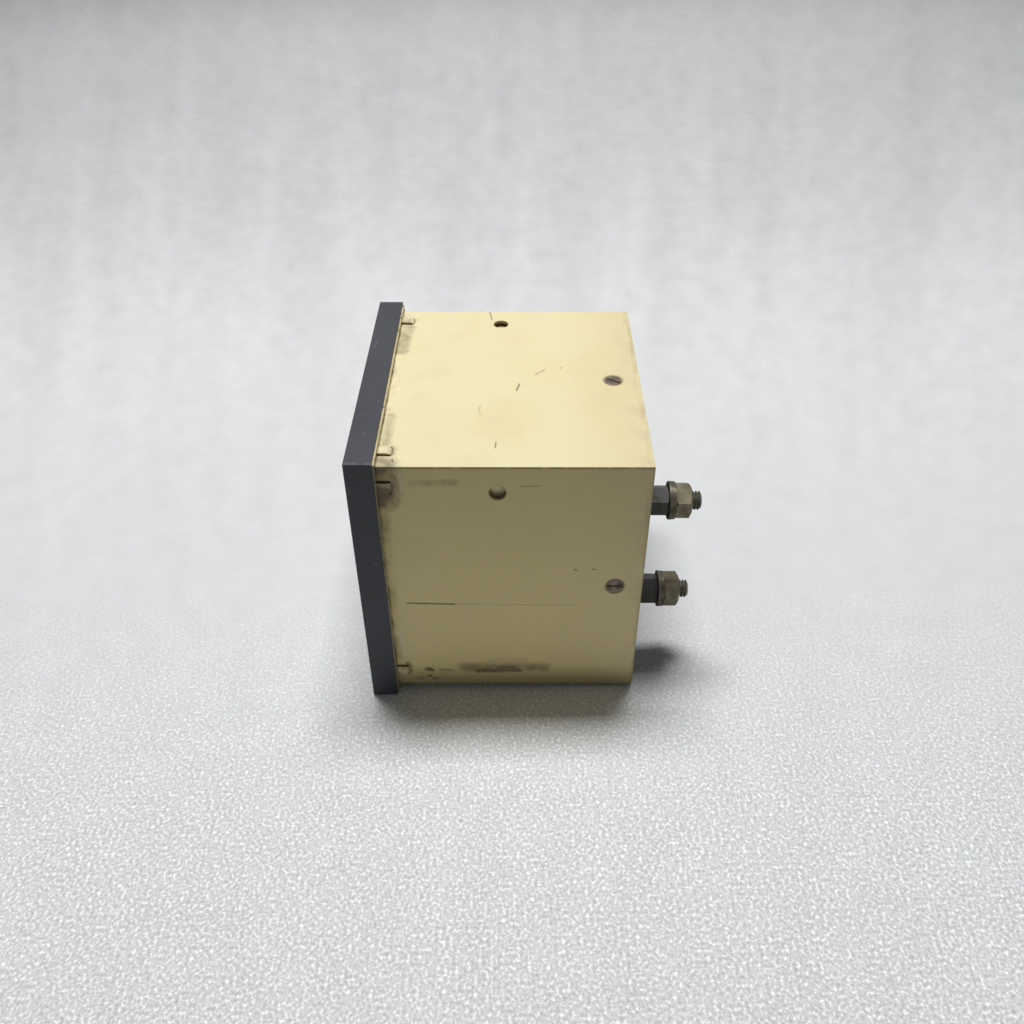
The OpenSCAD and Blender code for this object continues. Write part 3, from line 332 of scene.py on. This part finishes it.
    # Hard dirt: scratches down to the steel, spots, and the dark rings round screws and holes; with them the
    # painted shadow and dirt round each tongue's rear end
    holes = f.either(f.step(from_hole(CLAMP_AT), 2.5, 2.9, 0.30, 0.0),
                     f.step(from_hole(SCREW_AT), 2.9, 3.7, 0.40, 0.0))
    seam = f.calc("MULTIPLY", f.step(y, 0.05, 0.5, 0.7, 0.0), f.step(f.noise(f.point, 9.0, 2.0), 0.38, 0.60))
    scratches = f.marks(SCRATCHES)
    hard = f.either(holes, seam, f.marks(SPOTS, 1.8), scratches, f.calc("MULTIPLY", rear_end_shadow_and_dirt, 0.75))
    colour = f.blend(hard, colour, (0.125, 0.090, 0.040))
    inside = f.step(outer, CASE_H - 0.7, CASE_H - 0.5, 1.0, 0.0)
    inner_coat = f.blend(f.speckle(6.0, 0.4, 0.6), (0.46, 0.38, 0.18), (0.36, 0.29, 0.14))
    colour = f.blend(inside, colour, inner_coat)

    waves = f.noise(f.point, 12.0, 2.0)
    height = f.calc("ADD", f.calc("MULTIPLY", f.noise(f.point, 0.9, 2.0), 0.08), waves)
    height = f.calc("SUBTRACT", height, f.calc("MULTIPLY", scratches, 0.6))
    rough = f.blend_value(f.either(soft, hard), f.blend_value(waves, 0.42, 0.52), 0.75)
    return f.done(colour, rough, height, 0.05, Specular_IOR_Level=0.35)


def ring_enamel():
    """Dull yellow passivated steel, its upright edges painted dark grey-green as painted shade."""
    f = Finish("ring_enamel")
    x, y, z = f.axes()
    wide = f.calc("ABSOLUTE", x)
    tall = f.calc("ABSOLUTE", z)
    upright = f.calc("GREATER_THAN", wide, tall)
    outer = f.calc("MAXIMUM", wide, tall)
    colour = f.blend(f.step(f.noise(f.point, 12.0), 0.4, 0.6), (0.66, 0.56, 0.31), (0.55, 0.46, 0.24))
    # Upright edges darker and grey-green: painted shade
    colour = f.blend(f.calc("MULTIPLY", upright, 0.75), colour, (0.19, 0.175, 0.12))
    nicks = f.calc("MULTIPLY", f.speckle(2.4, 0.56, 0.64), 0.75)
    gap = f.calc("MULTIPLY", f.step(outer, RING_H + 0.2, RING_H, 0.0, 0.8),
                 f.step(f.noise(f.point, 9.0, 2.0), 0.38, 0.60))
    bezel_gap = f.step(y, -0.85, -0.55, 0.8, 0.0)
    dirt = f.either(gap, bezel_gap, nicks)
    colour = f.blend(dirt, colour, (0.10, 0.075, 0.035))
    return f.done(colour, f.blend_value(dirt, 0.45, 0.8), f.noise(f.point, 0.8, 3.0), 0.02)


BEZEL_H = 48.0
BEZEL_FRONT = -8.5

# Dust and scuffs on the bezel: start, end, half width, softness, strength
SCUFFS = [
    ((23.2, -5.8, BEZEL_H), (23.5, -5.7, BEZEL_H), 0.06, 0.25, 0.30),
    ((32.4, -4.1, BEZEL_H), (32.7, -4.0, BEZEL_H), 0.06, 0.25, 0.30),
    ((BEZEL_H, -7.8, 40.2), (BEZEL_H, -7.4, 38.0), 0.08, 0.60, 0.14),
    ((BEZEL_H, -3.0, 12.0), (BEZEL_H, -2.2, 11.0), 0.10, 0.30, 0.15),
    ((-20.0, -6.5, BEZEL_H), (-16.0, -6.8, BEZEL_H), 0.08, 0.30, 0.15),
]


def bezel_plastic():
    f = Finish("dark_grey_plastic")
    x, y, z = f.axes()
    wide = f.calc("ABSOLUTE", x)
    tall = f.calc("ABSOLUTE", z)
    outer = f.calc("MAXIMUM", wide, tall)
    inner = f.calc("MINIMUM", wide, tall)
    cloud = f.step(f.noise(f.point, 16.0, 2.0), 0.38, 0.62)
    colour = f.blend(cloud, (0.033, 0.036, 0.046), (0.041, 0.043, 0.052))
    colour = f.blend(f.calc("MULTIPLY", f.speckle(0.5, 0.60, 0.72), 0.22), colour, (0.085, 0.085, 0.09))
    corner = f.calc("MULTIPLY", f.step(inner, BEZEL_H - 1.5, BEZEL_H - 0.9),
                    f.calc("GREATER_THAN", tall, wide))
    rounded = f.step(inner, BEZEL_H - 0.30, BEZEL_H - 0.12)
    front = f.step(y, BEZEL_FRONT + 0.25, BEZEL_FRONT + 0.1)
    rim = f.calc("MULTIPLY", front, f.step(outer, BEZEL_H - 0.35, BEZEL_H - 0.15))
    uneven = f.speckle(1.6, 0.36, 0.60)
    worn = f.calc("MULTIPLY", f.either(f.calc("MULTIPLY", corner, 0.40), f.calc("MULTIPLY", rounded, 0.5),
                                       f.calc("MULTIPLY", rim, 0.35)), uneven)
    colour = f.blend(worn, colour, (0.165, 0.150, 0.175))
    colour = f.blend(f.marks(SCUFFS), colour, (0.30, 0.29, 0.27))
    grain = f.calc("ADD", f.noise(f.point, 0.4, 2.0), f.calc("MULTIPLY", f.noise(f.point, 9.0), 1.5))
    rough = f.blend_value(worn, f.blend_value(cloud, 0.50, 0.58), 0.45)
    return f.done(colour, rough, grain, 0.012, Specular_IOR_Level=0.40)


def side_screw_metal():
    """Browned steel screws with rubbed patches, and dust in the slot."""
    f = Finish("browned_screw")
    x, _, z = f.axes()
    outer = f.calc("MAXIMUM", f.calc("ABSOLUTE", x), f.calc("ABSOLUTE", z))
    tarnish = f.step(f.noise(f.point, 2.6, 2.0), 0.38, 0.62)
    colour = f.blend(tarnish, (0.24, 0.185, 0.135), (0.105, 0.078, 0.058))
    in_slot = f.step(outer, CASE_H - 0.35, CASE_H - 0.1, 1.0, 0.0)
    colour = f.blend(f.calc("MULTIPLY", in_slot, 0.8), colour, (0.36, 0.29, 0.21))
    rough = f.blend_value(tarnish, 0.50, 0.65)
    return f.done(colour, rough, f.noise(f.point, 0.8, 2.0), 0.015, Metallic=0.25)


def aged_metal(name, clean, stained, patch, roughness, metallic=1.0, stains=(0.44, 0.60)):
    """Plated or bare metal: clean in places, stained in patches, with fine drawn lines."""
    f = Finish(name)
    stain = f.step(f.noise(f.point, patch, 2.0), *stains)
    colour = f.blend(stain, clean, stained)
    lines = f.noise(f.stretched(1.0, 6.0, 1.0), 0.35, 2.0)
    colour = f.blend(f.calc("MULTIPLY", lines, 0.2), colour, tuple(0.6 * c for c in stained))
    rough = f.blend_value(stain, roughness, min(1.0, roughness + 0.2))
    height = f.calc("ADD", lines, f.calc("MULTIPLY", stain, 0.5))
    return f.done(colour, rough, height, 0.006, Metallic=metallic)


def dull_plating(name, clean, stained, patch, roughness):
    """Plating gone dull and brown: more like paint than metal, with soft stains."""
    f = Finish(name)
    stain = f.step(f.noise(f.point, patch, 2.0), 0.36, 0.62)
    colour = f.blend(stain, clean, stained)
    specks = f.calc("MULTIPLY", f.speckle(0.8, 0.58, 0.70), 0.4)
    colour = f.blend(specks, colour, tuple(0.5 * c for c in stained))
    rough = f.blend_value(stain, roughness, roughness + 0.12)
    return f.done(colour, rough, f.noise(f.point, 0.7, 2.0), 0.012, Metallic=0.6)


def moulded_plastic(name, colour, worn, roughness, grain=0.5, patch=9.0):
    """Moulded plastic: a fine grain, faint clouding and a few rubbed specks."""
    f = Finish(name)
    cloud = f.step(f.noise(f.point, patch, 3.0), 0.38, 0.64)
    shade = f.blend(cloud, colour, tuple(0.82 * c for c in colour))
    specks = f.speckle(0.7, 0.60, 0.70)
    shade = f.blend(f.calc("MULTIPLY", specks, 0.5), shade, worn)
    rough = f.blend_value(cloud, roughness, min(1.0, roughness + 0.12))
    return f.done(shade, rough, f.noise(f.point, grain, 2.0), 0.015)


def post_bakelite():
    f = Finish("brown_black_post")
    dust = f.step(f.noise(f.point, 2.4, 3.0), 0.44, 0.66)
    colour = f.blend(f.calc("MULTIPLY", dust, 0.5), (0.026, 0.023, 0.022), (0.065, 0.060, 0.042))
    return f.done(colour, f.blend_value(dust, 0.45, 0.7), f.noise(f.point, 0.8, 2.0), 0.02)


# ---- Finishes of the front and the inside ----------------------------------------


def window_glass():
    """Clear glass that lets the lamps through."""
    f = Finish("window_glass")
    f.done((0.96, 0.98, 0.975), 0.02, IOR=1.49, Transmission_Weight=1.0)
    clear = f.node("BsdfTransparent", {"Color": (0.93, 0.95, 0.94)})
    shadow = f.node("LightPath").outputs["Is Shadow Ray"]
    mixed = f.node("MixShader", {0: shadow, 1: f.shader.outputs["BSDF"], 2: clear.outputs["BSDF"]})
    f.plug(f.output.inputs["Surface"], mixed.outputs["Shader"])
    return f.material


def dial_enamel():
    f = Finish("dial_enamel")
    aged = f.step(f.noise(f.point, 22.0, 4.0), 0.40, 0.66)
    colour = f.blend(aged, (0.84, 0.82, 0.74), (0.80, 0.77, 0.67))
    colour = f.blend(f.calc("MULTIPLY", f.speckle(0.5, 0.66, 0.72), 0.35), colour, (0.55, 0.50, 0.40))
    return f.done(colour, f.blend_value(aged, 0.48, 0.58), f.noise(f.point, 0.5, 2.0), 0.008)


def dial_ink():
    f = Finish("dial_ink")
    thin = f.speckle(0.35, 0.5, 0.75)
    colour = f.blend(thin, (0.012, 0.012, 0.013), (0.045, 0.045, 0.045))
    return f.done(colour, f.blend_value(thin, 0.5, 0.7), thin, 0.004)


def winding_wire():
    f = Finish("lacquered_wire")
    lacquer = f.step(f.noise(f.point, 3.5, 3.0), 0.40, 0.62)
    colour = f.blend(lacquer, (0.46, 0.16, 0.055), (0.28, 0.085, 0.03))
    return f.done(colour, f.blend_value(lacquer, 0.28, 0.42), f.noise(f.point, 0.6), 0.01,
                  Metallic=0.75, Coat_Weight=0.5, Coat_Roughness=0.2)


def brushed(name, colour, roughness):
    """Bare light metal with fine lines, for the moving pieces."""
    f = Finish(name)
    lines = f.noise(f.stretched(1.0, 1.0, 8.0), 0.2, 2.0)
    shade = f.blend(lines, colour, tuple(0.8 * c for c in colour))
    return f.done(shade, f.blend_value(lines, roughness, roughness + 0.15), lines, 0.004, Metallic=1.0)


def painted(name, colour, worn, roughness):
    """Thin dark paint on a light metal piece, rubbed in a few places."""
    f = Finish(name)
    rubbed = f.calc("MULTIPLY", f.speckle(1.2, 0.60, 0.72), 0.6)
    return f.done(f.blend(rubbed, colour, worn), f.blend_value(rubbed, roughness, 0.35),
                  f.noise(f.point, 0.5), 0.006)


FINISHES = {
    "bezel_plastic": bezel_plastic,
    "window_glass": window_glass,
    "gasket_rubber": lambda: moulded_plastic("gasket_rubber", (0.018, 0.018, 0.02), (0.06, 0.06, 0.06), 0.7),
    "case_steel": case_enamel,
    "ring_steel": ring_enamel,
    "frame_plastic": lambda: moulded_plastic("frame_plastic", (0.020, 0.020, 0.022), (0.05, 0.05, 0.05), 0.5),
    "dial_paint": dial_enamel,
    "dial_ink": dial_ink,
    "screw_steel": lambda: aged_metal("plated_screw", (0.62, 0.61, 0.57), (0.34, 0.31, 0.25), 1.6, 0.28),
    "dark_screw_steel": side_screw_metal,
    "chassis_steel": lambda: dull_plating("yellow_passivated_steel",
                                          (0.72, 0.63, 0.38), (0.62, 0.53, 0.31), 9.0, 0.5),
    "brass": lambda: aged_metal("brass", (0.72, 0.52, 0.22), (0.42, 0.28, 0.11), 4.0, 0.30),
    "bobbin_plastic": lambda: moulded_plastic("bobbin_plastic", (0.66, 0.60, 0.46), (0.5, 0.43, 0.3), 0.45),
    "copper_wire": winding_wire,
    "copper_bar": lambda: aged_metal("copper_bar", (0.70, 0.34, 0.20), (0.34, 0.16, 0.09), 5.0, 0.34),
    "soft_iron": lambda: aged_metal("soft_iron", (0.36, 0.36, 0.36), (0.20, 0.17, 0.15), 3.0, 0.42),
    "chamber_plastic": lambda: moulded_plastic("chamber_plastic",
                                               (0.045, 0.048, 0.054), (0.10, 0.10, 0.10), 0.45),
    "spindle_steel": lambda: brushed("spindle_steel", (0.62, 0.62, 0.63), 0.22),
    "pointer_aluminium": lambda: painted("pointer_paint", (0.012, 0.012, 0.013), (0.25, 0.25, 0.25), 0.5),
    "vane_aluminium": lambda: brushed("vane_aluminium", (0.80, 0.80, 0.81), 0.3),
    "spring_bronze": lambda: brushed("spring_bronze", (0.66, 0.42, 0.20), 0.25),
    "base_plastic": lambda: moulded_plastic("base_plastic", (0.030, 0.026, 0.026), (0.09, 0.08, 0.07), 0.42),
    "stud_steel": lambda: dull_plating("dull_stud", (0.185, 0.180, 0.140), (0.110, 0.105, 0.080), 2.6, 0.45),
    "post_plastic": post_bakelite,
    "washer_steel": lambda: dull_plating("dull_washer",
                                         (0.130, 0.115, 0.085), (0.080, 0.068, 0.050), 3.0, 0.50),
    "nut_brass": lambda: dull_plating("dull_nut", (0.200, 0.178, 0.110), (0.125, 0.104, 0.064), 5.0, 0.45),
}


def dress_nodes():
    """Gives each CAD node the finish of its material slot, and returns the finishes by slot."""
    made = {name: make() for name, make in FINISHES.items()}
    for node in frame["nodes"].values():
        for place in node.material_slots:
            place.material = made[place.material.name]
    return made


# ---- Pieces that only the looks need ------------------------------------------------


def joint_place(name):
    return Vector(next(j["pos_m"] for j in frame["joints"] if j["name"] == name))


NUMBER_HEIGHT = 4.4 * MM
NUMBER_OUT = 5.4 * MM
INK_THICKNESS = 0.02 * MM
LONG_MARKS = 6
STEP_SHOWN = 20
STEP_DEGREES = 18


def add_numbers(ink):
    """The numbers 0 to 100 outside the scale's long marks."""
    pivot = joint_place("pointer_swing")
    low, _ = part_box("scale_print")
    radius = pivot.x - low.x + NUMBER_OUT
    verts, faces = [], []
    for i in range(LONG_MARKS):
        text = bpy.data.curves.new("number", "FONT")
        text.body = str(STEP_SHOWN * i)
        text.size = NUMBER_HEIGHT
        text.align_x = "CENTER"
        text.align_y = "CENTER"
        text.extrude = INK_THICKNESS
        source = bpy.data.objects.new("number", text)
        mesh = bpy.data.meshes.new_from_object(source)
        angle = math.radians(180 - STEP_DEGREES * i)
        outward = Vector((math.cos(angle), 0, math.sin(angle)))
        centre = Vector((pivot.x, low.y + INK_THICKNESS, pivot.z)) + radius * outward
        first = len(verts)
        verts += [centre + Vector((v.co.x, -v.co.z, v.co.y)) for v in mesh.vertices]
        faces += [[first + k for k in p.vertices] for p in mesh.polygons]
        bpy.data.objects.remove(source)
    return add_piece("dial_numbers", verts, faces, ink)


THREAD_PITCH = 1.0
THREAD_DEPTH = 0.55
STUD_HEAD_H = 4.0
STUD_CHAMFER = 0.5
CHAMFER_SLOPE = 1.7
AROUND = 48
RINGS_PER_TURN = 10


def thread_shape(along):
    """How deep the thread is at this many turns along it: 0 on the crest, 1 at the root."""
    phase = along % 1.0
    return min(1.0, max(0.0, 2.6 * (0.5 - abs(phase - 0.5)) - 0.15))


def add_studs(metal):
    """The terminal studs with their threads cut, in place of the plain ones."""
    low, high = (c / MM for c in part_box("terminal_studs"))
    mounts = [m for m in frame["record"]["mounts"] if m["kind"] == "pin"]
    neck = low.y + STUD_HEAD_H
    turns = (high.y - neck) / THREAD_PITCH
    rings = int(turns * RINGS_PER_TURN)
    top_z = max(m["pos_m"][2] for m in mounts) / MM
    verts, faces = [], []
    for mount in mounts:
        x, z = mount["pos_m"][0] / MM, mount["pos_m"][2] / MM
        crest = mount["dims"]["r_mm"]
        head_r = high.z - top_z

        def ring(y, radius):
            """Adds a ring of points whose radius is a function of the share of a turn."""
            first = len(verts)
            for i in range(AROUND):
                angle = 2 * math.pi * i / AROUND
                r = radius(i / AROUND)
                verts.append(Vector((x + r * math.cos(angle), y, z + r * math.sin(angle))) * MM)
            return first

        def join(a, b):
            for i in range(AROUND):
                j = (i + 1) % AROUND
                faces.append((a + i, b + i, b + j, a + j))

        def hexagon(share):
            sixth = (share + 0.25) % (1 / 6)
            return head_r * math.cos(math.pi / 6) / math.cos(2 * math.pi * sixth - math.pi / 6)

        start = ring(low.y, hexagon)
        shoulder = ring(neck, hexagon)
        join(start, shoulder)
        last = shoulder
        for k in range(rings + 1):
            y = neck + (high.y - neck) * k / rings
            limit = crest - max(0.0, y - (high.y - STUD_CHAMFER)) * CHAMFER_SLOPE

            def cut(share):
                return min(limit, crest - THREAD_DEPTH * thread_shape((y - neck) / THREAD_PITCH - share))

            made = ring(y, cut)
            join(last, made)
            last = made
        faces.append(tuple(range(start, start + AROUND)))
        faces.append(tuple(reversed(range(last, last + AROUND))))
    studs = add_piece("stud_threads", verts, faces, metal)
    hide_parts("terminal_studs")


def add_piece(name, verts, faces, material, body="housing"):
    mesh = bpy.data.meshes.new(name)
    mesh.from_pydata(verts, [], faces)
    mesh.validate()
    mesh.materials.append(material)
    piece = bpy.data.objects.new(name, mesh)
    bpy.context.scene.collection.objects.link(piece)
    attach(piece, body)
    return piece


# ---- Floor, light and camera ---------------------------------------------------------


FLOOR_GAP = 0.05 * MM
FLOOR_HALF = 2.5


def floor_slope():
    """A point under the bezel's rear edge, and the slope of the floor that also meets the case's."""
    bezel_low, bezel_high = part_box("bezel")
    case_low, case_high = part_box("case")
    slope = math.atan2(case_low.z - bezel_low.z, case_high.y - bezel_high.y)
    return Vector((0, bezel_high.y, bezel_low.z - FLOOR_GAP)), slope


# The point on the floor that the streaks fan out from, and the scale of the fan's own coordinates
SHEET_FROM = (469.0, 39.0)
SHEET_SPAN = 1000.0


def floor_material():
    """Pale foamed sheet: grain in front whose bright specks are painted glints, and faint streaks behind that fan
    out from one point.

    The light that the floor gives back to the object is strong beside it and weak farther away.
    """
    f = Finish("pale_floor")
    x, y, _ = f.axes()
    # The floor's tone dips behind the object and rises again far away: painted light and shade across the floor
    shade = f.calc("SUBTRACT", 0.765, f.step(x, -120.0, -430.0, 0.0, 0.115))
    shade = f.calc("ADD", shade, f.step(x, -560.0, -900.0, 0.0, 0.09))

    back = f.calc("DIVIDE", SHEET_SPAN, f.calc("SUBTRACT", SHEET_FROM[0], x))
    aside = f.calc("MULTIPLY", f.calc("SUBTRACT", y, SHEET_FROM[1]), back)
    fan = f.node("CombineXYZ", {0: aside, 1: f.calc("MULTIPLY", back, 0.30 * SHEET_SPAN)}).outputs[0]
    streaks = f.calc("SUBTRACT", f.noise(f.vector("MULTIPLY", fan, (1.0, 0.16, 1.0)), 42.0, 2.0), 0.5)
    mottle = f.calc("SUBTRACT", f.noise(fan, 16.0, 3.0), 0.5)
    behind = f.step(x, 40.0, -260.0)

    in_front = f.step(x, -30.0, 110.0)
    grain = f.noise(f.point, 1.0, 2.0, 0.6)
    # Bright specks added to the grain: painted glints
    grain = f.calc("ADD", f.calc("SUBTRACT", grain, 0.5), f.step(grain, 0.54, 0.74, 0.0, 0.35))
    for part in (f.calc("MULTIPLY", streaks, f.blend_value(behind, 0.04, 0.17)),
                 f.calc("MULTIPLY", mottle, f.blend_value(behind, 0.03, 0.14)),
                 f.calc("MULTIPLY", grain, f.blend_value(in_front, 0.03, 0.95)),
                 f.calc("MULTIPLY", f.calc("SUBTRACT", f.noise(f.point, 12.0, 2.0), 0.5), 0.08)):
        shade = f.calc("ADD", shade, part)
    grey = f.node("CombineXYZ", {0: shade, 1: shade, 2: shade}).outputs[0]
    seen = f.vector("MULTIPLY", grey, (0.985, 1.0, 1.01))

    away = f.vector("LENGTH", f.vector("SUBTRACT", f.point, (45.0, 40.0, -50.0)))
    given = f.step(away, 70.0, 320.0, 0.84, 0.20)
    given = f.node("CombineXYZ", {0: given, 1: given, 2: given}).outputs[0]
    path = f.node("LightPath")
    looked_at = f.either(path.outputs["Is Camera Ray"], path.outputs["Is Glossy Ray"],
                         path.outputs["Is Transmission Ray"])
    colour = f.blend(looked_at, given, seen)
    return f.done(colour, 0.75, f.noise(f.point, 1.6, 3.0, 0.6), 0.12, Specular_IOR_Level=0.2)


def add_floor():
    place, slope = floor_slope()
    verts = [(x * FLOOR_HALF, y * FLOOR_HALF, 0) for x, y in ((-1, -1), (1, -1), (1, 1), (-1, 1))]
    mesh = bpy.data.meshes.new("floor")
    mesh.from_pydata(verts, [], [(0, 1, 2, 3)])
    mesh.materials.append(floor_material())
    floor = bpy.data.objects.new("floor", mesh)
    floor.location = place
    floor.rotation_euler = (slope, 0, 0)
    bpy.context.scene.collection.objects.link(floor)


LAMP_PLACE = (-0.25, -0.02, 1.30)
LAMP_SIZE = (0.26, 0.62)
LAMP_WATTS = 17.5


def add_lamp(name, place, size, power):
    """A flat panel that faces straight down, its size along X and Y."""
    data = bpy.data.lights.new(name, "AREA")
    data.shape = "RECTANGLE"
    data.size, data.size_y = size
    data.energy = power
    lamp = bpy.data.objects.new(name, data)
    lamp.location = place
    bpy.context.scene.collection.objects.link(lamp)


WORLD_LIGHT = 0.085
WORLD_SEEN = 0.62


def add_world():
    world = bpy.data.worlds.new("studio")
    bpy.context.scene.world = world
    world.use_nodes = True
    g = Graph(world.node_tree)
    path = g.node("LightPath")
    looked_at = g.either(path.outputs["Is Camera Ray"], path.outputs["Is Glossy Ray"],
                         path.outputs["Is Transmission Ray"])
    strength = g.blend_value(looked_at, WORLD_LIGHT, WORLD_SEEN)
    back = g.node("Background", {"Color": (0.97, 0.99, 1.0), "Strength": strength})
    g.node("OutputWorld", {"Surface": back.outputs["Background"]})


# The camera that a fit to the photographed box corners gave
CAMERA_PLACE = (0.26163, 0.03933, 0.20638)
CAMERA_TURN = (39.3125, 0.3304, -0.1258)
LENS_MM = 34.13
SENSOR_MM = 36.0


def add_camera():
    data = bpy.data.cameras.new("camera")
    data.sensor_width = SENSOR_MM
    data.lens = LENS_MM
    data.clip_start = 0.01
    camera = bpy.data.objects.new("camera", data)
    pitch, yaw, roll = (math.radians(a) for a in CAMERA_TURN)
    forward = Vector((-math.cos(yaw) * math.cos(pitch), -math.sin(yaw) * math.cos(pitch), -math.sin(pitch)))
    level = Vector((-math.sin(yaw), math.cos(yaw), 0))
    right = math.cos(roll) * level + math.sin(roll) * level.cross(forward)
    turn = Matrix((right, right.cross(forward), -forward)).transposed()
    camera.matrix_world = Matrix.Translation(CAMERA_PLACE) @ turn.to_4x4()
    bpy.context.scene.collection.objects.link(camera)
    bpy.context.scene.camera = camera


finishes = dress_nodes()
add_numbers(finishes["dial_ink"])
add_studs(finishes["stud_steel"])
add_floor()
add_lamp("ceiling", LAMP_PLACE, LAMP_SIZE, LAMP_WATTS)
add_world()
add_camera()
bpy.context.scene.view_settings.view_transform = "Standard"
